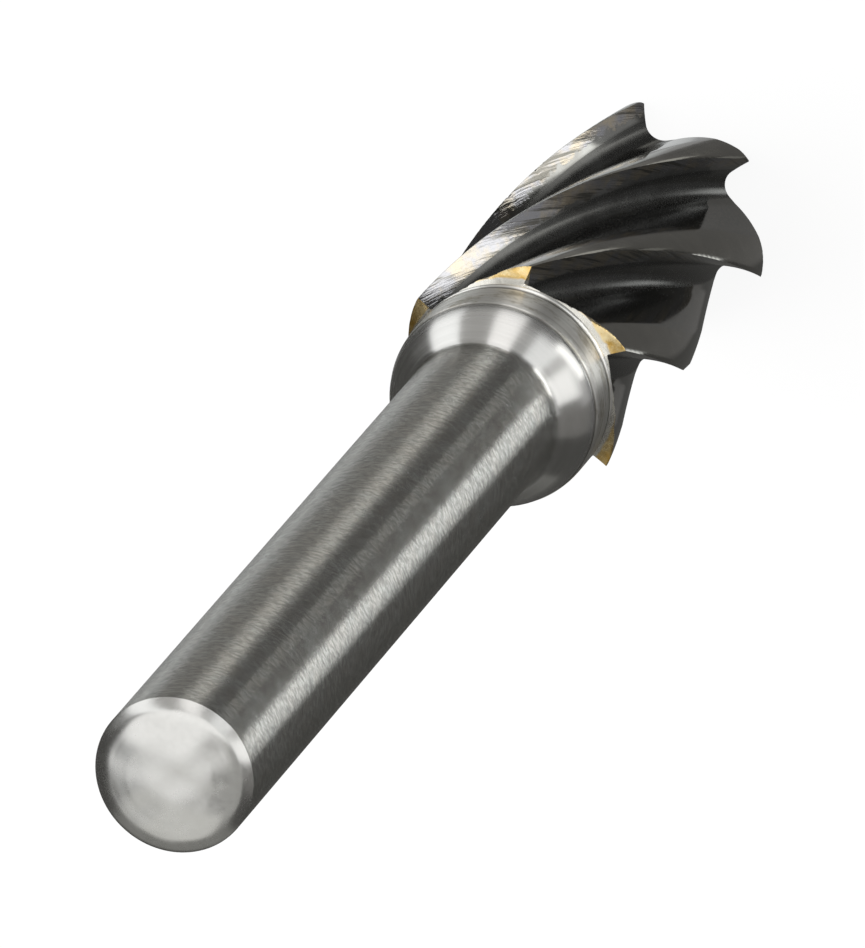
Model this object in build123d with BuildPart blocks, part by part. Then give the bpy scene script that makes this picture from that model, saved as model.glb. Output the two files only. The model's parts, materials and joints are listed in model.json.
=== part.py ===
"""Carbide burr: a plain-ended cylindrical head with six coarse helical teeth, brazed to a 6 mm steel shank.

The burr stands on the flat end of its head, with the shank pointing up.
The origin is the centre of the head's end face, +Z runs along the shank, and all sizes are in millimetres.
The helix is right-handed and the tool cuts right-handed.
"""

from build123d import *
import math
import os

# Overall
overall_length = 64.0
shank_diameter = 6.0
head_diameter = 9.6
head_length = 19.6

# Teeth: drops are measured inwards from the head's radius, places as shares of the pitch behind a tip
tooth_count = 6
helix_lead = 66.6  # height of one whole turn of a tooth
first_tip_angle = 12.8  # degrees from +X to a tip, on the head's end face
land_share = 0.33  # relief land, from the tip back to the crease
land_drop = 0.55
land_crown = 0.12
heel_share = 0.67  # tooth back, from the crease to the start of the flute floor
heel_drop = 1.40
back_crown = 0.08
root_drop = 1.75  # where the flute floor would meet the rake face, without its fillet
root_fillet = 0.72
root_chords = 5  # the fillet is ground as this many narrow facets

# Brazed joint: a thin layer that spreads from the collar to the wider head
braze_thickness = 0.40
braze_sag = 0.05  # how far its edge is hollowed between the two rims

# Collar turned on the shank
collar_diameter = 8.24
collar_band_length = 2.57
collar_flare_length = 1.43
collar_shoulder_fillet = 2.4
collar_neck_fillet = 0.35
collar_rim_width = 0.15
collar_rim_length = 0.30

# Run-out: the grinding wheel lifts out of each flute before it reaches the collar
wheel_radius = 5.0
wheel_floor_drop = 1.70  # from the head's radius to the wheel's lowest point, just below the flute floor
runout_drop = 0.70  # from the head's radius to the wheel, at the collar's face
runout_share = 0.75  # middle of the run-out, as a share of the pitch behind a tip

# Rounded tail of the shank
tail_round_width = 1.3
tail_round_length = 0.7

head_radius = head_diameter / 2
shank_radius = shank_diameter / 2
collar_radius = collar_diameter / 2
tooth_pitch = 360 / tooth_count
joint_top = head_length + braze_thickness
shoulder_height = joint_top + collar_band_length
neck_height = shoulder_height + collar_flare_length
wheel_floor_radius = head_radius - wheel_floor_drop
wheel_lift = wheel_floor_drop - runout_drop
runout_start = joint_top - math.sqrt(wheel_radius**2 - (wheel_radius - wheel_lift) ** 2)
runout_angle = first_tip_angle + 360 * joint_top / helix_lead + runout_share * tooth_pitch


def polar_point(drop, angle):
    """A point of the tooth section, a drop inwards from the head's radius and an angle round from +X."""
    radius = head_radius - drop
    return Vector(radius * math.cos(math.radians(angle)), radius * math.sin(math.radians(angle)))


def crowned(start, end, crown):
    """The middle of an arc from start to end that bulges outwards by crown."""
    chord = end - start
    outward = Vector(chord.Y, -chord.X).normalized()
    return (start + end) * 0.5 + outward * crown


# Working body: the core that is left where the flutes run out
with BuildPart() as flute_runout:
    with BuildSketch(Plane.XY.offset(runout_start)):
        Circle(head_radius - land_drop)
    extrude(amount=joint_top - runout_start)
    with Locations((0, 0, runout_start)):
        with PolarLocations(wheel_floor_radius + wheel_radius, tooth_count, start_angle=runout_angle):
            Cylinder(wheel_radius, height=head_diameter, rotation=(90, 0, 0), mode=Mode.SUBTRACT)

# Working body: the toothed bar that the head and the braze layer are both ground from
with BuildPart() as toothed_bar:
    with BuildLine() as bar_axis:
        Line((0, 0, 0), (0, 0, joint_top))
    with BuildLine() as tooth_helix:
        Helix(pitch=helix_lead, height=joint_top, radius=head_radius)
    with BuildSketch() as tooth_section:
        with BuildLine():
            for tooth in range(tooth_count):
                tip_angle = first_tip_angle + tooth * tooth_pitch
                tip = polar_point(0, tip_angle)
                crease = polar_point(land_drop, tip_angle + land_share * tooth_pitch)
                heel = polar_point(heel_drop, tip_angle + heel_share * tooth_pitch)
                root = polar_point(root_drop, tip_angle + tooth_pitch)
                next_tip = polar_point(0, tip_angle + tooth_pitch)
                ThreePointArc(tip, crowned(tip, crease, land_crown), crease)
                ThreePointArc(crease, crowned(crease, heel, back_crown), heel)
                flute = FilletPolyline(heel, root, next_tip, radius=root_fillet, mode=Mode.PRIVATE)
                rounding = flute.edges().filter_by(GeomType.CIRCLE)[0]
                root_points = [rounding @ (chord / root_chords) for chord in range(root_chords + 1)]
                root_points.sort(key=lambda point: (point - heel).length)
                Polyline(heel, *root_points, next_tip)
        make_face()
    sweep(path=bar_axis.line, binormal=tooth_helix.edge())
    add(flute_runout.part)

# Cutting head: sintered carbide, with flat ends
with BuildPart() as cutter_head:
    add(toothed_bar.part)
    split(bisect_by=Plane.XY.offset(head_length), keep=Keep.BOTTOM)

# Braze layer: the flutes run out through it
with BuildPart() as braze_layer:
    with BuildSketch(Plane.XZ):
        with BuildLine():
            head_edge = Vector(head_radius, head_length)
            collar_edge = Vector(collar_radius - collar_rim_width, joint_top)
            Polyline((0, joint_top), (0, head_length), head_edge)
            ThreePointArc(head_edge, crowned(head_edge, collar_edge, -braze_sag), collar_edge)
            Line(collar_edge, (0, joint_top))
        make_face()
    revolve(axis=Axis.Z)
    add(toothed_bar.part, mode=Mode.INTERSECT)

# Shank: one turned piece with its flared collar and its rounded tail
with BuildPart() as shank:
    with BuildSketch(Plane.XZ) as shank_profile:
        with BuildLine():
            tail_start = overall_length - tail_round_length
            Polyline(
                (0, joint_top),
                (collar_radius - collar_rim_width, joint_top),
                (collar_radius, joint_top + collar_rim_length),
                (collar_radius, shoulder_height),
                (shank_radius, neck_height),
                (shank_radius, tail_start),
            )
            EllipticalCenterArc(
                center=(shank_radius - tail_round_width, tail_start),
                x_radius=tail_round_width,
                y_radius=tail_round_length,
                start_angle=0,
                arc_size=90,
            )
            Polyline((shank_radius - tail_round_width, overall_length), (0, overall_length), (0, joint_top))
        make_face()
        fillet(
            shank_profile.vertices().sort_by_distance((collar_radius, shoulder_height))[0],
            radius=collar_shoulder_fillet,
        )
        fillet(
            shank_profile.vertices().sort_by_distance((shank_radius, neck_height))[0],
            radius=collar_neck_fillet,
        )
    revolve(axis=Axis.Z)

os.makedirs("parts", exist_ok=True)
cutter_head.part.label = "cutter_head"
braze_layer.part.label = "braze_layer"
shank.part.label = "shank"
export_step(cutter_head.part, "parts/cutter_head.step")
export_step(braze_layer.part, "parts/braze_layer.step")
export_step(shank.part, "parts/shank.step")
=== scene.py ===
"""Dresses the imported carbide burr: fine meshes, ground-metal finishes, a small studio and the camera.

Units are metres in the row's frame: the burr stands on its head's end face and the shank points up, along +Z.
"""

import json
import math

import bmesh
import bpy
import numpy as np
from mathutils import Matrix, Vector


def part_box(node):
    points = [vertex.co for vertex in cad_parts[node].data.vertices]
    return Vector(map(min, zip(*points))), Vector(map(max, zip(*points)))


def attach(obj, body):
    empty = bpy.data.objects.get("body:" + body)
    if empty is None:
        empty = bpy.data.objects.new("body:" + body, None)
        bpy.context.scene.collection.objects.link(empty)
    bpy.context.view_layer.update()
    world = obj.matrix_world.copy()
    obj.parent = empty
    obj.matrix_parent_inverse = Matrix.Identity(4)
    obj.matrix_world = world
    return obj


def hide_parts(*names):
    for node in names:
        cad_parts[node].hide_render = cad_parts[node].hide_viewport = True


MM = 0.001

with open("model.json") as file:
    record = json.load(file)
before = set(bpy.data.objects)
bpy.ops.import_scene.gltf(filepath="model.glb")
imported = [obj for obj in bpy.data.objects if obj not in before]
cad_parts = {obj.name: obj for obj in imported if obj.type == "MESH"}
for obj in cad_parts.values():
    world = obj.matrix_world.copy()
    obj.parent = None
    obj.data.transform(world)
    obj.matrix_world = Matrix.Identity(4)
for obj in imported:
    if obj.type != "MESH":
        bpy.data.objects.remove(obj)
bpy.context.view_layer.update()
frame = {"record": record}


def to_hundredths(length):
    """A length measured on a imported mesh, put back on the hundredth of a millimetre that it was drawn at."""
    return round(length / MM, 2) * MM


# Main sizes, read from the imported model
head_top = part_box("cutter_head")[1]
shank_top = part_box("shank")[1]
joint_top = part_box("braze_layer")[1].z
head_length = head_top.z
head_radius = to_hundredths(head_top.y)
collar_radius = to_hundredths(shank_top.x)
overall_length = shank_top.z
shank_mount = next(mount for mount in frame["record"]["mounts"] if mount["name"] == "shank")
shank_radius = shank_mount["dims"]["r_mm"] * MM

# Teeth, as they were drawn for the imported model. Shares are of the pitch, and drops run inwards from the
# head's radius.
TOOTH_COUNT = 6
HELIX_LEAD = 66.6 * MM  # height of one whole turn of a tooth
FIRST_TIP_ANGLE = math.radians(12.8)
LAND_SHARE, LAND_DROP, LAND_CROWN = 0.33, 0.55 * MM, 0.12 * MM
HEEL_SHARE, HEEL_DROP, BACK_CROWN = 0.67, 1.40 * MM, 0.08 * MM
ROOT_DROP, ROOT_FILLET = 1.75 * MM, 0.72 * MM
WHEEL_RADIUS, WHEEL_FLOOR_DROP = 5.0 * MM, 1.70 * MM
RUNOUT_DROP, RUNOUT_SHARE = 0.70 * MM, 0.75

# Collar and braze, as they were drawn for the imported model
BAND_LENGTH, FLARE_LENGTH = 2.57 * MM, 1.43 * MM
SHOULDER_FILLET = 2.4 * MM
RIM_WIDTH = 0.15 * MM
BRAZE_SAG = 0.05 * MM

# Teeth: wear and fine detail that only the visible mesh has
EDGE_ROUND = 0.025 * MM  # honed cutting edge
END_BEVEL = 0.03 * MM
BLEND_WIDTH = 0.04 * MM  # where a flute's floor meets the run-out
RAKE_HOLLOW = 0.025 * MM
CHIP_DEPTH = 0.022 * MM
FINE_WEAR_DEPTH = 0.35 * CHIP_DEPTH
FINE_WEAR_WAVES = (9.1, 23.7)  # two waves along an edge, in radians a millimetre
CHIPS = [  # tooth, height, half width and depth; the last one is a long blunt stretch
    (2, 7.9 * MM, 0.10 * MM, 2.6 * CHIP_DEPTH),
    (2, 6.2 * MM, 0.07 * MM, 2.0 * CHIP_DEPTH),
    (3, 11.3 * MM, 0.08 * MM, 1.2 * CHIP_DEPTH),
    (5, 8.0 * MM, 3.00 * MM, 6.0 * CHIP_DEPTH),
]
END_WEAR_DEPTH, END_WEAR_LENGTH = 0.16 * MM, 0.40 * MM
FIRST_TOOTH_WEAR = 2.2  # how many times deeper the first tooth's end is worn

# Collar and tail: turned and polished detail that only the visible mesh has
NECK_FILLET = 1.0 * MM
BEAD_RADIUS = 0.19 * MM  # the bead round the collar at the joint
GROOVES = [  # turned lines round the collar: height over the joint, half width, depth
    (0.52 * MM, 0.09 * MM, 0.050 * MM),
    (1.15 * MM, 0.05 * MM, 0.005 * MM),
    (1.80 * MM, 0.05 * MM, 0.006 * MM),
    (2.28 * MM, 0.08 * MM, 0.030 * MM),
]
TAIL_RIM, TAIL_DOME = 1.65 * MM, 0.06 * MM  # radius and height of the tail's domed middle
TAIL_SLOPE, TAIL_EDGE_SLOPE = 0.12, 1.46  # of the tail's round, at the dome's rim and at the shank's side
TAIL_POWER = 3.7  # how late the round steepens
TAIL_CORNER = 0.04 * MM  # rounding between the tail and the shank's side
TAIL_WAVE = 0.010 * MM
TAIL_WAVE_RADIUS, TAIL_WAVE_FADE = 2.648 * MM, 0.4 * MM  # where the waves end, and over what width

# Finishes
NOISE_RANGE = (0.3, 0.7)  # where nearly all of a noise's values lie
STREAK_SKEW = 0.27  # how far the rake's grinding streaks drift outwards along the helix
STREAK_SCALE = (5200, 240)  # of their noise, across the helix and along it
TOOTH_SHIFT = 0.05  # moves the streaks' pattern on from tooth to tooth
STREAK_DEPTH = 0.014 * MM
TICK_DEPTH = 0.0035 * MM
FLARE_LINES, LINE_DEPTH = (100, 100, 5000), 0.003 * MM  # scales of the noise, and depth
POLISH_GRAIN, POLISH_DEPTH = (1400, 1400, 1400), 0.005 * MM
BRAZE_DEPTH = 0.03 * MM
FULL_DARKENING_DEPTH = 0.04 * MM  # of a groove that would be darkened fully
MOST_GROOVE_DARKENING = 0.75  # but no groove is darkened by more than this share
BRAZE_SILVER_RADIUS = collar_radius + 0.08 * MM  # inside this the braze seam is silvery
BRAZE_SILVER_BLEND, BRAZE_SILVER_RAGGED = 0.08 * MM, 0.06 * MM  # its border's width, and how far it wanders

tooth_pitch = 2 * math.pi / TOOTH_COUNT
floor_radius = head_radius - WHEEL_FLOOR_DROP
wheel_lift = WHEEL_FLOOR_DROP - RUNOUT_DROP
runout_start = joint_top - math.sqrt(WHEEL_RADIUS**2 - (WHEEL_RADIUS - wheel_lift) ** 2)
runout_angle = FIRST_TIP_ANGLE + 2 * math.pi * joint_top / HELIX_LEAD + RUNOUT_SHARE * tooth_pitch
shoulder_height = joint_top + BAND_LENGTH
neck_height = shoulder_height + FLARE_LENGTH


# ---------------------------------------------------------------- profiles


def polar(radius, angle):
    """A point of the plane, from its polar coordinates."""
    return np.array([radius * math.cos(angle), radius * math.sin(angle)])


def arc_through(start, end, crown, count):
    """Points along a circular arc from start to end that bulges to the right of its chord by crown."""
    chord = end - start
    length = np.linalg.norm(chord)
    outward = np.array([chord[1], -chord[0]]) / length
    radius = (length**2 / 4 + crown**2) / (2 * crown)
    centre = (start + end) / 2 + outward * (crown - radius)
    half = math.asin(length / 2 / radius)
    middle = math.atan2(outward[1], outward[0])
    turn = np.linspace(-half, half, count) * np.sign(chord @ polar(1, middle + math.pi / 2))
    return centre + radius * np.stack([np.cos(middle + turn), np.sin(middle + turn)], 1)


def rounded_corner(before, corner, after, radius, count):
    """Points of the arc that rounds a corner of a 2-D polyline."""
    back = (before - corner) / np.linalg.norm(before - corner)
    ahead = (after - corner) / np.linalg.norm(after - corner)
    half_angle = math.acos(back @ ahead) / 2
    reach = radius / math.tan(half_angle)
    middle = (back + ahead) / np.linalg.norm(back + ahead)
    centre = corner + middle * radius / math.sin(half_angle)
    first, last = corner + back * reach - centre, corner + ahead * reach - centre
    sweep = math.pi - 2 * half_angle
    steps = np.linspace(0, 1, count)[:, None]
    return centre + (np.sin((1 - steps) * sweep) * first + np.sin(steps * sweep) * last) / math.sin(sweep)


def line(start, end, count):
    """Evenly spaced points from start to end."""
    return start + (end - start) * np.linspace(0, 1, count)[:, None]


# ---------------------------------------------------------------- meshes


MERGE_DISTANCE = 1e-7
WORN_LEVELS, EVEN_LEVELS = 8, 196  # rings up the head's worn end, and up the rest of it
BRAZE_LEVELS = 14
DOME_POINTS, ROUND_POINTS = 14, 24  # of the tail's profile
POINTS_AROUND = 256  # the shank
CARBIDE_CREASE, METAL_CREASE = math.radians(20), math.radians(28)  # edges that turn more are shaded sharp


def add_to_scene(name, data):
    """A new object with this data, in the scene."""
    new_object = bpy.data.objects.new(name, data)
    bpy.context.scene.collection.objects.link(new_object)
    return new_object


def make_piece(name, vertices, faces, replaced, crease, ground=None):
    """A smooth-shaded piece that stands for a CAD node and rides with the burr."""
    mesh = bpy.data.meshes.new(name)
    mesh.from_pydata([tuple(v) for v in vertices], [], faces)
    if ground is not None:
        mesh.attributes.new("ground", "FLOAT_VECTOR", "POINT").data.foreach_set("vector", ground.ravel())
    bm = bmesh.new()
    bm.from_mesh(mesh)
    bmesh.ops.remove_doubles(bm, verts=bm.verts, dist=MERGE_DISTANCE)
    bmesh.ops.dissolve_degenerate(bm, edges=bm.edges, dist=MERGE_DISTANCE)
    bmesh.ops.recalc_face_normals(bm, faces=bm.faces)
    for edge in bm.edges:
        edge.smooth = edge.calc_face_angle(0) < crease
    for face in bm.faces:
        face.smooth = True
    bm.to_mesh(mesh)
    bm.free()
    piece = add_to_scene(name, mesh)
    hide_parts(replaced)
    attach(piece, "root")
    return piece


def tube_faces(ring_count, point_count):
    """The four-sided faces of a tube through closed rings that all have the same number of points."""
    faces = []
    for low in range(0, (ring_count - 1) * point_count, point_count):
        high = low + point_count
        for i in range(point_count):
            j = (i + 1) % point_count
            faces.append((low + i, low + j, high + j, high + i))
    return faces


def loft(rings):
    """Vertices and faces of a closed body through rings, with a flat cap at each end."""
    count = len(rings[0])
    faces = tube_faces(len(rings), count)
    faces.append(tuple(reversed(range(count))))
    faces.append(tuple(range((len(rings) - 1) * count, len(rings) * count)))
    return np.concatenate(rings), faces


# How each part of a tooth was ground, for the carbide's finish. The rake climbs from RAKE to RAKE + 1 at its
# cutting edge.
LAND, BACK, FLUTE, ROOT, RAKE = 0.0, 1.0, 2.0, 3.0, 4.0
LAND_POINTS, BACK_POINTS, FLUTE_POINTS, ROOT_POINTS, RAKE_POINTS = 15, 13, 5, 16, 11
RAKE_CLIMB = np.linspace(0, 1, RAKE_POINTS + 1)[1:] ** 0.8  # closer together towards the edge


def tooth_stations():
    """Radii, angles and zones of one pitch of the tooth section, from a tip to the foot of the next rake."""
    tip = polar(head_radius, 0)
    crease = polar(head_radius - LAND_DROP, LAND_SHARE * tooth_pitch)
    heel = polar(head_radius - HEEL_DROP, HEEL_SHARE * tooth_pitch)
    root = polar(head_radius - ROOT_DROP, tooth_pitch)
    next_tip = polar(head_radius, tooth_pitch)
    rounding = rounded_corner(heel, root, next_tip, ROOT_FILLET, ROOT_POINTS)
    stretches = [
        (LAND, arc_through(tip, crease, LAND_CROWN, LAND_POINTS)[:-1]),
        (BACK, arc_through(crease, heel, BACK_CROWN, BACK_POINTS)[:-1]),
        (FLUTE, line(heel, rounding[0], FLUTE_POINTS)[:-1]),
        (ROOT, rounding),
    ]
    points = np.concatenate([stretch for _, stretch in stretches])
    zones = np.concatenate([np.full(len(stretch), zone) for zone, stretch in stretches])
    return np.hypot(points[:, 0], points[:, 1]), np.arctan2(points[:, 1], points[:, 0]), zones


def core_radius(angle, z):
    """Radius of the core that is left where the grinding wheel lifts out of the flutes."""
    if z <= runout_start:
        return np.zeros_like(angle)
    lift = WHEEL_RADIUS - math.sqrt(WHEEL_RADIUS**2 - (z - runout_start) ** 2)
    away = (angle - runout_angle + tooth_pitch / 2) % tooth_pitch - tooth_pitch / 2
    return np.minimum((floor_radius + lift) / np.cos(away), head_radius - LAND_DROP)


def smooth_larger(a, b, width):
    """The larger of two radii, with the crease where they cross eased over width."""
    ease = np.maximum(width - np.abs(a - b), 0) / width
    return np.maximum(a, b) + ease**2 * width / 4


def edge_wear(tooth, z):
    """How far a cutting edge is nibbled inwards at a height: fine wear all along it, and the chips."""
    slow, quick = FINE_WEAR_WAVES
    # The phases differ from tooth to tooth, so that no two wear alike
    waves = math.sin(z / MM * slow + 2.3 * tooth) * math.sin(z / MM * quick + tooth)
    nibble = FINE_WEAR_DEPTH * (0.5 + 0.5 * waves) ** 3
    for chipped_tooth, height, width, depth in CHIPS:
        if chipped_tooth == tooth:
            nibble += depth * math.exp(-(((z - height) / width) ** 2))
    return nibble


def end_wear(tooth, z):
    """How far a tooth's corner at the head's end is worn back; the first tooth is worn most."""
    depth = END_WEAR_DEPTH * (FIRST_TOOTH_WEAR if tooth == 0 else 1)
    return depth * max(1 - z / END_WEAR_LENGTH, 0) ** 2


def tooth_ring(z, limit, trim=0.0):
    """The closed outline of all teeth at a height, no wider than limit and trimmed inwards by trim."""
    radii, angles, _ = tooth_stations()
    twist = FIRST_TIP_ANGLE + 2 * math.pi * z / HELIX_LEAD
    ring = []
    for tooth in range(TOOTH_COUNT):
        following = (tooth + 1) % TOOTH_COUNT
        start = twist + tooth * tooth_pitch
        wear = edge_wear(tooth, z)
        outline = smooth_larger(radii, core_radius(start + angles, z), BLEND_WIDTH)
        near_tip = np.clip(1 - angles * head_radius / (3 * EDGE_ROUND + 2 * wear), 0, 1)
        outline = outline - near_tip * (wear + EDGE_ROUND * 0.5)
        outline = np.minimum(outline - trim, min(limit, head_radius - end_wear(tooth, z)))
        rake_foot = outline[-1]
        next_limit = min(limit, head_radius - end_wear(following, z))
        rake_edge = min(head_radius - edge_wear(following, z) - EDGE_ROUND - trim, next_limit)
        rise = max(rake_edge - rake_foot, 0)
        rake = rake_foot + rise * RAKE_CLIMB
        hollow = RAKE_HOLLOW * 4 * RAKE_CLIMB * (1 - RAKE_CLIMB) * rise / ROOT_DROP
        all_radii = np.concatenate([outline, rake])
        all_angles = start + np.concatenate([angles, tooth_pitch + hollow / rake])
        ring.append(np.stack([all_radii * np.cos(all_angles), all_radii * np.sin(all_angles)], 1))
    ring = np.concatenate(ring)
    return np.column_stack([ring, np.full(len(ring), z)])


def ground_marks(vertices, ring_count):
    """For each point of the head: distance across its tooth's outline, distance along its helix, and zone."""
    radii, angles, zones = tooth_stations()
    outline = np.stack([radii * np.cos(angles), radii * np.sin(angles)], 1)
    rake = outline[-1] + (polar(head_radius, tooth_pitch) - outline[-1]) * RAKE_CLIMB[:, None]
    steps = np.linalg.norm(np.diff(np.concatenate([outline, rake]), axis=0), axis=1)
    across = np.concatenate([[0], np.cumsum(steps)])
    across_teeth = np.concatenate([across + tooth * TOOTH_SHIFT for tooth in range(TOOTH_COUNT)])
    zones_of_teeth = np.tile(np.append(zones, RAKE + RAKE_CLIMB), TOOTH_COUNT)
    along = vertices[:, 2] * math.hypot(1, 2 * math.pi * head_radius / HELIX_LEAD)
    return np.column_stack([np.tile(across_teeth, ring_count), along, np.tile(zones_of_teeth, ring_count)])


def build_head():
    """The toothed head, with more rings close to its worn end than further up."""
    collar_bevel = END_BEVEL / 3
    worn = np.linspace(END_BEVEL, END_WEAR_LENGTH, WORN_LEVELS)[:-1]
    even = np.linspace(END_WEAR_LENGTH, head_length - collar_bevel, EVEN_LEVELS)
    rings = [tooth_ring(0.0, head_radius, END_BEVEL)]
    rings += [tooth_ring(z, head_radius) for z in np.concatenate([worn, even])]
    rings += [tooth_ring(head_length, head_radius, collar_bevel)]
    vertices, faces = loft(rings)
    marks = ground_marks(vertices, len(rings))
    return make_piece("burr_head", vertices, faces, "cutter_head", CARBIDE_CREASE, marks)


def build_braze():
    """The braze seam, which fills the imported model's hollow a little."""
    collar_edge = np.array([collar_radius - RIM_WIDTH, joint_top])
    head_edge = np.array([head_radius, head_length])
    hollow = arc_through(collar_edge, head_edge, BRAZE_SAG, BRAZE_LEVELS)[::-1]
    filled = 2 * line(head_edge, collar_edge, BRAZE_LEVELS)[:, 0] - hollow[:, 0]
    rings = [tooth_ring(z, min(radius, head_radius)) for radius, z in zip(filled, hollow[:, 1])]
    vertices, faces = loft(rings)
    return make_piece("braze_seam", vertices, faces, "braze_layer", METAL_CREASE)


def tail_profile():
    """The polished tail: a faint dome to a rim line, then a turned round that steepens towards the side."""
    disc_radius = TAIL_RIM * np.linspace(1, 0, DOME_POINTS)
    disc = np.column_stack([disc_radius, overall_length - TAIL_DOME * (disc_radius / TAIL_RIM) ** 2])
    share = np.linspace(1, 0, ROUND_POINTS)
    width = shank_radius - TAIL_RIM
    steepening = (TAIL_EDGE_SLOPE - TAIL_SLOPE) * share ** (TAIL_POWER + 1) / (TAIL_POWER + 1)
    edge = np.column_stack([TAIL_RIM + width * share, disc[0, 1] - width * (TAIL_SLOPE * share + steepening)])
    return disc, edge


def tail_waves(points):
    """The hand-polished unevenness of the tail: how far each point of it lies below the true dome."""
    x, y, z = points.T
    x_mm, y_mm = x / MM, y / MM
    crossed = np.sin(2.9 * x_mm + 1.2 * y_mm + 0.6) * np.cos(1.7 * x_mm - 2.1 * y_mm)
    waves = 2 + crossed + np.sin(3.6 * y_mm - 1.3 * x_mm + 1.2)
    inside = np.clip((TAIL_WAVE_RADIUS - np.hypot(x, y)) / TAIL_WAVE_FADE, 0, 1)
    return np.where(z > overall_length - shank_radius, TAIL_WAVE * waves * inside, 0)


def shank_profile():
    """The turned outline of the collar, the bar and the tail, as radii and heights."""
    tail_disc, tail_edge = tail_profile()
    axis = np.array([0, joint_top])
    bead_top = np.array([collar_radius, joint_top + 2 * BEAD_RADIUS])
    shoulder = np.array([collar_radius, shoulder_height])
    neck = np.array([shank_radius, neck_height])
    tail_corner = np.array([shank_radius, tail_edge[0, 1]])
    turn = np.linspace(-math.pi / 2, math.pi / 2, 13)[:, None]
    bead_centre = np.array([collar_radius - BEAD_RADIUS, joint_top + BEAD_RADIUS])
    bead = bead_centre + BEAD_RADIUS * np.hstack([np.cos(turn), np.sin(turn)])
    shoulder_arc = rounded_corner(bead_top, shoulder, neck, SHOULDER_FILLET, 60)
    neck_arc = rounded_corner(shoulder, neck, tail_corner, NECK_FILLET, 10)
    # The last number of each call is how many points the stretch has
    profile = np.concatenate(
        [
            line(axis, bead[0], 6)[1:-1],
            bead[:-3],  # stops short, which leaves a shallow notch under the band
            line(bead_top, shoulder_arc[0], 40)[1:-1],
            shoulder_arc,
            line(shoulder_arc[-1], neck_arc[0], 6)[1:-1],
            neck_arc,
            line(neck_arc[-1], tail_corner, 60)[1:-1],
            rounded_corner(neck_arc[-1], tail_corner, tail_edge[1], TAIL_CORNER, 4),
            tail_edge[1:],
            tail_disc[1:-1],
        ]
    )
    for height, half_width, depth in GROOVES:
        cut = depth * np.exp(-(((profile[:, 1] - joint_top - height) / half_width) ** 2))
        profile[:, 0] -= np.where(profile[:, 0] > shank_radius, cut, 0)
    return profile


def build_shank():
    """The shank, turned round its axis, with a slightly uneven tail."""
    around = np.linspace(0, 2 * math.pi, POINTS_AROUND, endpoint=False)
    circle = np.column_stack([np.cos(around), np.sin(around)])
    rings = [np.column_stack([radius * circle, np.full(len(circle), z)]) for radius, z in shank_profile()]
    vertices, faces = loft(rings)
    vertices[:, 2] -= tail_waves(vertices)
    return make_piece("shank_body", vertices, faces, "shank", METAL_CREASE)


# ---------------------------------------------------------------- materials


def rgb(red, green, blue):
    """An opaque colour, in the form that a socket takes."""
    return (red, green, blue, 1.0)


# Colours of the metals; a noise mixes those that come in pairs
SHANK_TONES = (rgb(0.57, 0.555, 0.52), rgb(0.59, 0.595, 0.57))
TICK_COLOR = rgb(0.27, 0.265, 0.25)
BAND_TONES = (rgb(0.74, 0.73, 0.69), rgb(0.83, 0.82, 0.79))
BLOTCH_COLOR = rgb(0.36, 0.33, 0.26)
GROOVE_DARK_COLOR = rgb(0.16, 0.155, 0.14)
RIM_POLISH_AND_HIGHLIGHT = rgb(0.86, 0.85, 0.82)
POLISHED_TONES = (rgb(0.57, 0.565, 0.55), rgb(0.65, 0.645, 0.63))
LAND_TONES = (rgb(0.245, 0.239, 0.219), rgb(0.285, 0.277, 0.252))
BACK_TONES = (rgb(0.205, 0.212, 0.215), rgb(0.28, 0.272, 0.255))
FLUTE_TONES = (rgb(0.20, 0.198, 0.188), rgb(0.26, 0.262, 0.252))
ROOT_DIRT_AND_SHADE = rgb(0.05, 0.05, 0.048)
RAKE_TONES = (rgb(0.375, 0.335, 0.27), rgb(0.30, 0.30, 0.315))
STREAK_COLOR = rgb(0.14, 0.135, 0.12)
BRAZE_TONES = (rgb(0.72, 0.45, 0.11), rgb(0.94, 0.78, 0.46))
BRAZE_SILVER = rgb(0.76, 0.74, 0.68)


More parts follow.
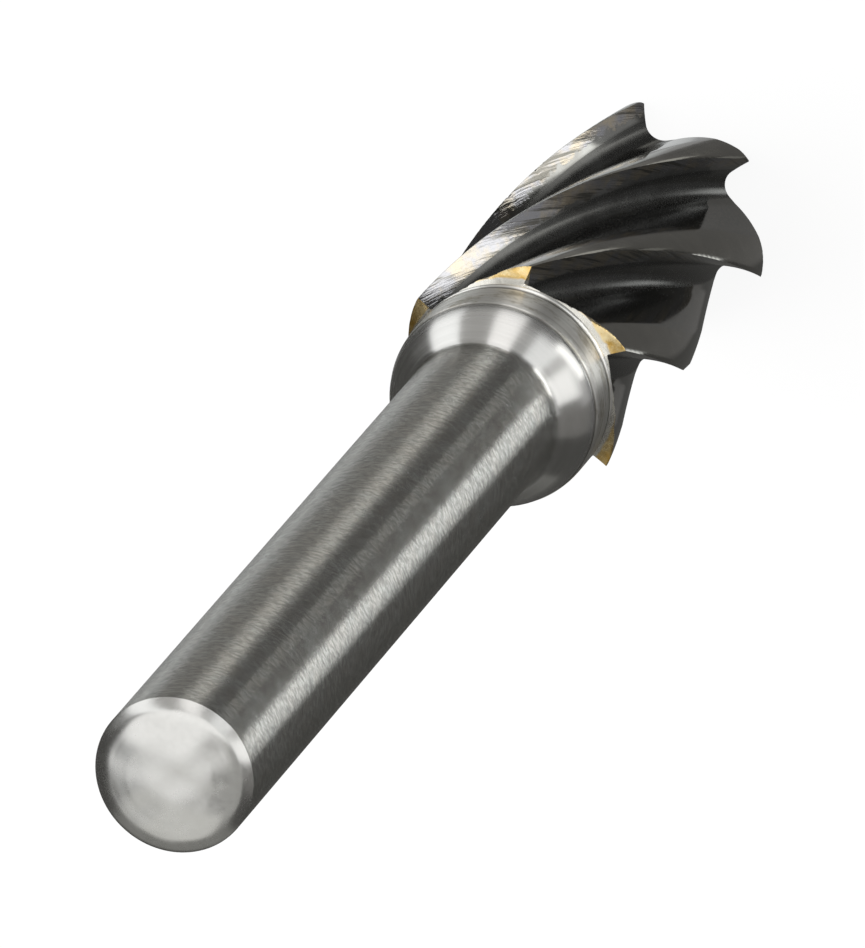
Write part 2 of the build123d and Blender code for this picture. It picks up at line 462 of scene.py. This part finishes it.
class Nodes:
    """Short calls for building one node tree, which is emptied first."""

    def __init__(self, tree, output_kind="ShaderNodeOutputMaterial"):
        self.tree = tree
        self.tree.nodes.clear()
        self.output = self.tree.nodes.new(output_kind)

    def add(self, kind, **settings):
        node = self.tree.nodes.new("ShaderNode" + kind)
        for key, value in settings.items():
            setattr(node, key, value)
        return node

    def link(self, source, target):
        self.tree.links.new(source, target)

    def feed(self, target, value):
        """Links a socket, or sets a plain value."""
        if hasattr(value, "is_output"):
            self.link(value, target)
        else:
            target.default_value = value

    def object_space(self):
        return self.add("TexCoord").outputs["Object"]

    def attribute(self, name, kind):
        return self.add("Attribute", attribute_name=name).outputs[kind]

    def seen_directly(self):
        """1 for rays that the camera sees straight or through metal and glass, 0 for the others."""
        path = self.add("LightPath")
        straight = self.math("ADD", path.outputs["Is Camera Ray"], path.outputs["Is Glossy Ray"])
        return self.math("MINIMUM", self.math("ADD", straight, path.outputs["Is Transmission Ray"]), 1.0)

    def split(self, vector):
        """The three parts of a vector."""
        node = self.add("SeparateXYZ")
        self.link(vector, node.inputs[0])
        return tuple(node.outputs)

    def height_above_joint(self, place):
        return self.math("SUBTRACT", self.split(place)[2], joint_top)

    def noise(self, vector, scale, detail=4.0, rough=0.55):
        node = self.add("TexNoise")
        self.link(vector, node.inputs["Vector"])
        node.inputs["Scale"].default_value = scale
        node.inputs["Detail"].default_value = detail
        node.inputs["Roughness"].default_value = rough
        return node.outputs["Fac"]

    def stretched_noise(self, vector, scales, detail, rough=0.55):
        """Noise with a scale for each direction."""
        node = self.add("Mapping")
        self.link(vector, node.inputs["Vector"])
        node.inputs["Scale"].default_value = scales
        return self.noise(node.outputs["Vector"], 1.0, detail, rough)

    def remap(self, value, from_low, from_high, to_low, to_high):
        node = self.add("MapRange")
        self.link(value, node.inputs["Value"])
        sockets = ("From Min", "From Max", "To Min", "To Max")
        for socket, number in zip(sockets, (from_low, from_high, to_low, to_high)):
            node.inputs[socket].default_value = number
        return node.outputs["Result"]

    def spread(self, noise, low, high):
        """A noise's usual range, remapped to run from low to high."""
        return self.remap(noise, *NOISE_RANGE, low, high)

    def math(self, operation, a, b=0.0):
        node = self.add("Math", operation=operation)
        self.feed(node.inputs[0], a)
        self.feed(node.inputs[1], b)
        return node.outputs[0]

    def mix(self, factor, a, b):
        """Two colours mixed by a factor, from all of the first to all of the second."""
        first, second, result = 6, 7, 2  # a Mix node's colour sockets
        node = self.add("Mix", data_type="RGBA")
        self.feed(node.inputs["Factor"], factor)
        self.feed(node.inputs[first], a)
        self.feed(node.inputs[second], b)
        return node.outputs[result]

    def tones(self, noise, pair, half_width=0.15):
        """Two colours mixed by a noise; a small half width gives them crisp borders."""
        return self.mix(self.remap(noise, 0.5 - half_width, 0.5 + half_width, 0, 1), *pair)

    def uneven(self, middle, broad, broad_swing, fine, fine_swing):
        """A roughness that a broad noise and a fine one raise and lower."""
        broad_part = self.spread(broad, middle - broad_swing, middle + broad_swing)
        return self.math("ADD", broad_part, self.spread(fine, -fine_swing, fine_swing))

    def bump(self, height, strength, distance):
        node = self.add("Bump")
        node.inputs["Strength"].default_value = strength
        node.inputs["Distance"].default_value = distance
        self.link(height, node.inputs["Height"])
        return node.outputs["Normal"]

    def metal(self, color, roughness, normal, anisotropic=0.0):
        """Ends the tree in a metal; an anisotropic one is brushed round the burr's axis."""
        node = self.add("BsdfPrincipled")
        node.inputs["Metallic"].default_value = 1.0
        self.link(color, node.inputs["Base Color"])
        self.link(roughness, node.inputs["Roughness"])
        self.link(normal, node.inputs["Normal"])
        if anisotropic:
            node.inputs["Anisotropic"].default_value = anisotropic
            node.inputs["Anisotropic Rotation"].default_value = 0.25  # a quarter turn
            tangent = self.add("Tangent", direction_type="RADIAL", axis="Z")
            self.link(tangent.outputs[0], node.inputs["Tangent"])
        self.end_in(node.outputs[0])

    def end_in(self, surface):
        self.link(surface, self.output.inputs["Surface"])


def new_material(name):
    """A material and the calls for building its nodes."""
    material = bpy.data.materials.new(name)
    material.use_nodes = True
    return material, Nodes(material.node_tree)


def turned_lines(nodes, place, scales):
    """Fine lines round the axis, where the scale along it is the largest."""
    return nodes.stretched_noise(place, scales, detail=5.0, rough=0.65)


def steel_material(name, line_scales, roughness, line_depth, anisotropic=0.0):
    """Turned or polished steel: fine lines, and broader uneven bands."""
    material, nodes = new_material(name)
    place = nodes.object_space()
    lines = turned_lines(nodes, place, line_scales)
    bands = nodes.stretched_noise(place, (160, 160, 500), detail=3.0)
    color = nodes.tones(lines, POLISHED_TONES, half_width=0.2)
    rough = nodes.uneven(roughness, bands, 0.03, lines, 0.03)
    nodes.metal(color, rough, nodes.bump(lines, 0.35, line_depth), anisotropic)
    return material


def ground_material():
    """The shank's ground side: short fine ticks round the axis, over soft brown and green-grey mottling."""
    material, nodes = new_material("ground_steel")
    place = nodes.object_space()
    ticks = nodes.stretched_noise(place, (3400, 3400, 7000), detail=2.0, rough=0.6)
    mottles = nodes.stretched_noise(place, (1300, 1300, 900), detail=4.0, rough=0.6)
    tick_strength = nodes.remap(ticks, 0.36, 0.6, 0.5, 0)
    color = nodes.mix(tick_strength, nodes.tones(mottles, SHANK_TONES), TICK_COLOR)
    rough = nodes.uneven(0.24, mottles, 0.02, ticks, -0.02)
    nodes.metal(color, rough, nodes.bump(ticks, 1.0, TICK_DEPTH), anisotropic=0.9)
    return material


def band_material():
    """The collar's turned band: lines, dull blotches, darkening in the grooves that grows with their depth,
    and a rim at the joint painted bright, polished metal with a painted highlight.
    """
    material, nodes = new_material("turned_band")
    place = nodes.object_space()
    lines = turned_lines(nodes, place, (260, 260, 5200))
    blotches = nodes.stretched_noise(place, (550, 550, 1500), detail=5.0, rough=0.75)
    blotch_strength = nodes.remap(blotches, 0.50, 0.62, 0, 0.75)
    color = nodes.mix(blotch_strength, nodes.tones(lines, BAND_TONES), BLOTCH_COLOR)
    height = nodes.height_above_joint(place)
    # Darker in the grooves, the deeper a groove the darker it is
    for middle, half_width, depth in GROOVES:
        away = nodes.math("ABSOLUTE", nodes.math("SUBTRACT", height, middle))
        most = min(depth / FULL_DARKENING_DEPTH, MOST_GROOVE_DARKENING)
        groove_darkening = nodes.remap(away, half_width * 0.6, half_width * 1.3, most, 0)
        color = nodes.mix(groove_darkening, color, GROOVE_DARK_COLOR)
    # The bead at the joint: polished metal, painted lighter as a highlight
    rim = nodes.remap(height, 1.9 * BEAD_RADIUS, 2.1 * BEAD_RADIUS, 1, 0)
    color = nodes.mix(rim, color, RIM_POLISH_AND_HIGHLIGHT)
    rough = nodes.uneven(0.33, blotches, 0.05, lines, 0.03)
    nodes.metal(color, rough, nodes.bump(lines, 0.5, LINE_DEPTH), anisotropic=0.8)
    return material


def rake_streaks(nodes, across, along):
    """Grinding streaks that run at a small angle to the helix."""
    drift = nodes.math("SUBTRACT", across, nodes.math("MULTIPLY", along, STREAK_SKEW))
    stretched = nodes.add("CombineXYZ")
    for source, scale, part in zip((drift, along), STREAK_SCALE, ("X", "Y")):
        nodes.link(nodes.math("MULTIPLY", source, scale), stretched.inputs[part])
    return nodes.noise(stretched.outputs[0], 1.0, detail=5.0, rough=0.62)


def rake_finish(nodes, place, zone):
    """1 where the rake's streaked finish holds; its ragged border lies lower on the rake near the collar."""
    border = nodes.remap(nodes.height_above_joint(place), -14 * MM, -6 * MM, RAKE + 0.45, RAKE + 0.12)
    raggedness = nodes.spread(nodes.noise(place, 1500, detail=6.0, rough=0.7), -0.28, 0.28)
    over_border = nodes.math("SUBTRACT", nodes.math("ADD", zone, raggedness), border)
    return nodes.remap(over_border, -0.06, 0.06, 0, 1)


def carbide_material():
    """Ground carbide: even lands, mottled backs, dark flutes whose roots are darkened with dirt and painted
    shade, and streaked rakes.
    """
    material, nodes = new_material("ground_carbide")
    place = nodes.object_space()
    across, along, zone = nodes.split(nodes.attribute("ground", "Vector"))
    streaks = rake_streaks(nodes, across, along)
    grain = nodes.noise(place, 9000, detail=3.0)
    patches = nodes.noise(place, 900)

    # Where each zone's finish holds, from 0 to 1
    raggedness = nodes.spread(nodes.noise(place, 3200, detail=5.0), -0.5, 0.5)
    back = nodes.remap(nodes.math("ADD", zone, raggedness), LAND + 0.45, LAND + 0.6, 0, 1)
    flute = nodes.remap(zone, BACK + 0.4, BACK + 0.6, 0, 1)
    into_root = nodes.remap(zone, FLUTE + 0.2, ROOT, 0, 1)
    out_of_root = nodes.remap(zone, RAKE, RAKE + 0.25, 1, 0)
    root = nodes.math("MULTIPLY", into_root, out_of_root)
    rake = rake_finish(nodes, place, zone)

    land_color = nodes.tones(patches, LAND_TONES)
    back_color = nodes.tones(grain, BACK_TONES, half_width=0.1)
    flute_color = nodes.tones(patches, FLUTE_TONES)
    bright_rake = nodes.tones(patches, RAKE_TONES, half_width=0.08)
    rake_color = nodes.mix(nodes.remap(streaks, 0.40, 0.48, 0, 1), STREAK_COLOR, bright_rake)
    tooth_color = nodes.mix(back, land_color, back_color)
    color = nodes.mix(flute, tooth_color, nodes.mix(rake, flute_color, rake_color))
    # Darker roots: dirt, and painted shade in the flutes' deepest hollow
    color = nodes.mix(nodes.math("MULTIPLY", root, 0.7), color, ROOT_DIRT_AND_SHADE)

    rough = nodes.uneven(0.09, patches, 0.02, grain, 0.02)
    rough = nodes.math("ADD", rough, nodes.math("MULTIPLY", root, 0.18))
    bump_share = nodes.math("ADD", 0.05, nodes.math("MULTIPLY", rake, 0.95))
    height = nodes.math("MULTIPLY", nodes.math("SUBTRACT", streaks, 0.5), bump_share)
    nodes.metal(color, rough, nodes.bump(height, 1.0, STREAK_DEPTH))
    return material


def braze_material():
    """Gold braze that turns silvery in the thin seam next to the steel."""
    material, nodes = new_material("braze_metal")
    place = nodes.object_space()
    patches = nodes.noise(place, 1800)
    x, y, _ = nodes.split(place)
    x_squared, y_squared = (nodes.math("POWER", part, 2.0) for part in (x, y))
    radius = nodes.math("SQRT", nodes.math("ADD", x_squared, y_squared))
    raggedness = nodes.spread(patches, -BRAZE_SILVER_RAGGED, BRAZE_SILVER_RAGGED)
    gold_start = BRAZE_SILVER_RADIUS + BRAZE_SILVER_BLEND
    silver = nodes.remap(nodes.math("ADD", radius, raggedness), BRAZE_SILVER_RADIUS, gold_start, 1, 0)
    color = nodes.mix(silver, nodes.tones(patches, BRAZE_TONES), BRAZE_SILVER)
    nodes.metal(color, nodes.spread(patches, 0.2, 0.32), nodes.bump(patches, 0.5, BRAZE_DEPTH))
    return material


def finish_shank(shank):
    """Gives the shank its ground side, its turned band and flare, and its polished tail."""
    finishes = [
        ground_material(),
        band_material(),
        steel_material("turned_flare", FLARE_LINES, roughness=0.25, line_depth=LINE_DEPTH, anisotropic=0.7),
        steel_material("polished_tail", POLISH_GRAIN, roughness=0.26, line_depth=POLISH_DEPTH),
    ]
    side, band, flare, tail = range(len(finishes))
    for finish in finishes:
        shank.data.materials.append(finish)
    band_end = joint_top + GROOVES[-1][0]
    tail_start = tail_profile()[1][0, 1]
    for face in shank.data.polygons:
        if face.center.z < band_end:
            face.material_index = band
        elif face.center.z < neck_height:
            face.material_index = flare
        elif face.center.z > tail_start:
            face.material_index = tail
        else:
            face.material_index = side


build_head().data.materials.append(carbide_material())
build_braze().data.materials.append(braze_material())
finish_shank(build_shank())


# ---------------------------------------------------------------- studio


FLOOR_REACH = 6.0
FLOOR_COLOR, FLOOR_GLOW = rgb(0.9, 0.9, 0.9), rgb(1.08, 1.08, 1.08)
FLOOR_GLOW_SHARE = 0.85  # the rest is lit, and shows the object's shadow
WORLD_WHITE, WORLD_FILL = 1.0, 0.25  # strengths of what is seen, and of what lights the object
KEY_PLACE, KEY_SIZE, KEY_POWER = (-0.25, -0.2, 0.45), 0.6, 3.0  # metres, metres and watts

# Soft boxes round the burr, as (azimuth, half width, lowest, highest, level, tint), all angles in degrees
SOFT_BOXES = [
    # overhead
    (152, 92, 55, 90, 1.36, (1.00, 1.00, 0.99)),
    (262, 22, 62, 90, 1.36, (1.00, 1.00, 0.99)),
    (245, 22, 51, 64, 0.60, (0.98, 1.00, 1.00)),
    (288, 22, 44, 64, 0.90, (1.00, 1.00, 0.96)),
    (340, 80, 76, 90, 0.72, (1.00, 1.00, 0.97)),
    (6, 56, 44, 90, 0.45, (1.00, 1.00, 0.96)),
    (297, 36, -18, 44, 0.27, (1.00, 1.00, 0.95)),
    # round the horizon
    (20, 14, -30, 52, 0.22, (1.00, 0.98, 0.94)),
    (51, 14, -10, 52, 1.45, (1.00, 1.00, 0.99)),
    (40, 12, -32, -8, 0.55, (1.00, 1.00, 1.00)),
    (60, 60, -56, -30, 0.15, (1.00, 1.00, 1.00)),
    (71, 10, -14, 55, 0.62, (1.00, 1.00, 0.98)),
    (87, 12, -12, 55, 1.22, (0.99, 1.00, 1.00)),
    (107, 12, -12, 55, 0.48, (1.00, 1.00, 0.98)),
    (125, 12, -30, 55, 1.45, (1.00, 0.99, 0.98)),
    (150, 16, -30, 55, 0.48, (1.00, 0.99, 0.96)),
    (177, 13, -32, 56, 1.50, (0.99, 1.00, 1.00)),
    (198, 10, -10, 56, 0.25, (1.00, 1.00, 0.98)),
    # low down, where the shank's side mirrors them
    (34, 15, -72, -57, 1.75, (0.98, 1.00, 0.99)),
    (88, 9, -76, -54, 0.30, (1.00, 1.00, 0.95)),
    (139, 11, -76, -52, 0.70, (1.00, 0.99, 0.93)),
    (170, 20, -76, -54, 0.28, (1.00, 0.98, 0.93)),
    (210, 14, -76, -52, 0.65, (0.97, 1.00, 1.00)),
    (246, 12, -76, -54, 0.68, (0.98, 1.00, 1.00)),
    (0, 180, -90, -72, 0.16, (1.00, 0.98, 0.94)),
    (232, 34, -90, -72, 0.42, (1.00, 1.00, 1.00)),
]
# A small lamp low at one side, whose lower and upper edges rise by LAMP_SLANT for each degree of azimuth
LAMP_BOX = (65, 17, -28, -14, 3.10, (1.00, 1.00, 0.98))
LAMP_SLANT = 0.36
TENT_RADIUS, TENT_COLUMNS, TENT_ROWS = 0.5, 480, 240
TENT_BASE = (0.085, 0.084, 0.080)
TENT_EDGE = math.radians(2.5)  # softness of a box's edges


def floor_material():
    """Matt paper that direct rays see near white, but that keeps part of the object's shadow."""
    material, nodes = new_material("floor_paper")
    diffuse = nodes.add("BsdfDiffuse")
    diffuse.inputs["Color"].default_value = FLOOR_COLOR
    glow = nodes.add("Emission")
    glow.inputs["Color"].default_value = FLOOR_GLOW
    mixed = nodes.add("MixShader")
    nodes.link(nodes.math("MULTIPLY", nodes.seen_directly(), FLOOR_GLOW_SHARE), mixed.inputs[0])
    nodes.link(diffuse.outputs[0], mixed.inputs[1])
    nodes.link(glow.outputs[0], mixed.inputs[2])
    nodes.end_in(mixed.outputs[0])
    return material


def build_floor():
    """A wide plain floor under the burr."""
    mesh = bpy.data.meshes.new("floor")
    corners = [(-1, -1), (1, -1), (1, 1), (-1, 1)]
    mesh.from_pydata([(x * FLOOR_REACH, y * FLOOR_REACH, 0) for x, y in corners], [], [(0, 1, 2, 3)])
    mesh.materials.append(floor_material())
    floor = add_to_scene("floor", mesh)
    floor.visible_glossy = False


def box_glow(box, slant, azimuth, elevation):
    """The light of one soft box on each point of the tent, in a row of red, green and blue."""
    *angles, level, tint = box
    middle, half, low, high = (math.radians(angle) for angle in angles)
    away = (azimuth - middle + math.pi) % (2 * math.pi) - math.pi
    height = elevation - slant * away
    across = np.clip((half - np.abs(away)) / TENT_EDGE + 0.5, 0, 1)
    over_low = np.clip((height - low) / TENT_EDGE + 0.5, 0, 1)
    under_high = np.clip((high - height) / TENT_EDGE + 0.5, 0, 1)
    return (across * (over_low * under_high)).reshape(-1, 1) * level * np.array(tint)


def tent_material():
    """The tent's own glow, which doesn't count as a lamp."""
    material, nodes = new_material("tent_glow")
    emission = nodes.add("Emission")
    nodes.link(nodes.attribute("glow", "Color"), emission.inputs["Color"])
    nodes.end_in(emission.outputs[0])
    material.cycles.emission_sampling = "NONE"
    return material


def build_tent():
    """A dome round the burr that only reflections see: dark, with soft boxes that the metal mirrors."""
    columns = np.linspace(0, 2 * math.pi, TENT_COLUMNS, endpoint=False)
    rows = np.linspace(-math.pi / 2, math.pi / 2, TENT_ROWS + 1)
    azimuth, elevation = np.meshgrid(columns, rows)
    directions = [np.cos(elevation) * np.cos(azimuth), np.cos(elevation) * np.sin(azimuth), np.sin(elevation)]
    points = TENT_RADIUS * np.stack(directions, -1).reshape(-1, 3)
    points[:, 2] += overall_length / 2
    glow = np.tile(np.array(TENT_BASE), (len(points), 1))
    for box in SOFT_BOXES:
        glow = np.maximum(glow, box_glow(box, 0, azimuth, elevation))
    glow = np.maximum(glow, box_glow(LAMP_BOX, LAMP_SLANT, azimuth, elevation))
    mesh = bpy.data.meshes.new("studio_tent")
    mesh.from_pydata([tuple(v) for v in points], [], tube_faces(TENT_ROWS + 1, TENT_COLUMNS))
    colors = mesh.attributes.new("glow", "FLOAT_COLOR", "POINT")
    colors.data.foreach_set("color", np.column_stack([glow, np.ones(len(glow))]).ravel())
    mesh.materials.append(tent_material())
    tent = add_to_scene("studio_tent", mesh)
    tent.visible_camera = tent.visible_diffuse = tent.visible_shadow = tent.visible_transmission = False


def build_world():
    """A world that direct rays see white, and that fills the shadows with a plain low light."""
    world = bpy.data.worlds.new("studio")
    bpy.context.scene.world = world
    world.use_nodes = True
    nodes = Nodes(world.node_tree, "ShaderNodeOutputWorld")
    choose = nodes.add("MixShader")
    nodes.link(nodes.seen_directly(), choose.inputs[0])
    for slot, strength in ((1, WORLD_FILL), (2, WORLD_WHITE)):
        background = nodes.add("Background")
        background.inputs["Color"].default_value = rgb(1, 1, 1)
        background.inputs["Strength"].default_value = strength
        nodes.link(background.outputs[0], choose.inputs[slot])
    nodes.end_in(choose.outputs[0])


def add_key_light():
    """One large soft lamp, which points at the foot of the burr."""
    data = bpy.data.lights.new("key", "AREA")
    data.size = KEY_SIZE
    data.energy = KEY_POWER
    lamp = add_to_scene("key", data)
    lamp.location = KEY_PLACE
    lamp.rotation_mode = "QUATERNION"
    lamp.rotation_quaternion = (-Vector(KEY_PLACE)).to_track_quat("-Z", "Y")
    lamp.visible_camera = lamp.visible_glossy = False


build_floor()
build_tent()
build_world()
add_key_light()


# ---------------------------------------------------------------- camera


PHOTO_SIZE = (865, 948)
PIXELS_PER_MM = 27.6112  # at the distance of AXIS_POINT
AXIS_TURN = -0.860271  # direction of the tool's axis in the picture
AXIS_TILT = 0.447973  # angle between the tool's axis and the line of sight
AXIS_POINT = Vector((-9.3224, 10.8625, 840.39)) * MM  # of the tool, from the camera: right, down, ahead
AXIS_POINT_HEIGHT = 63.30 * MM  # of that point on the tool
SENSOR_WIDTH = 36
CLIP_START, CLIP_END = 0.01, 30


def add_camera():
    """The photograph's camera, placed by how the tool's axis lies in its view."""
    in_view = polar(math.sin(AXIS_TILT), AXIS_TURN)
    along = Vector((*in_view, math.cos(AXIS_TILT)))
    row_x = Vector((-math.sin(AXIS_TURN), math.cos(AXIS_TURN), 0))
    row_y = row_x.cross(along)
    # Rows of this matrix are the camera's right, down and ahead directions in the row's frame
    to_camera = Matrix((row_x, row_y, -along)).transposed()
    origin = AXIS_POINT + along * AXIS_POINT_HEIGHT
    position = -(to_camera.transposed() @ origin)
    right, down, ahead = (Vector(row) for row in to_camera)
    data = bpy.data.cameras.new("camera")
    data.sensor_width = SENSOR_WIDTH
    data.lens = PIXELS_PER_MM * AXIS_POINT.z / MM * SENSOR_WIDTH / max(PHOTO_SIZE)
    data.clip_start, data.clip_end = CLIP_START, CLIP_END
    camera = add_to_scene("camera", data)
    basis = Matrix((right, -down, -ahead)).transposed().to_4x4()
    camera.matrix_world = Matrix.Translation(position) @ basis
    bpy.context.scene.camera = camera


add_camera()
bpy.context.scene.view_settings.view_transform = "Standard"
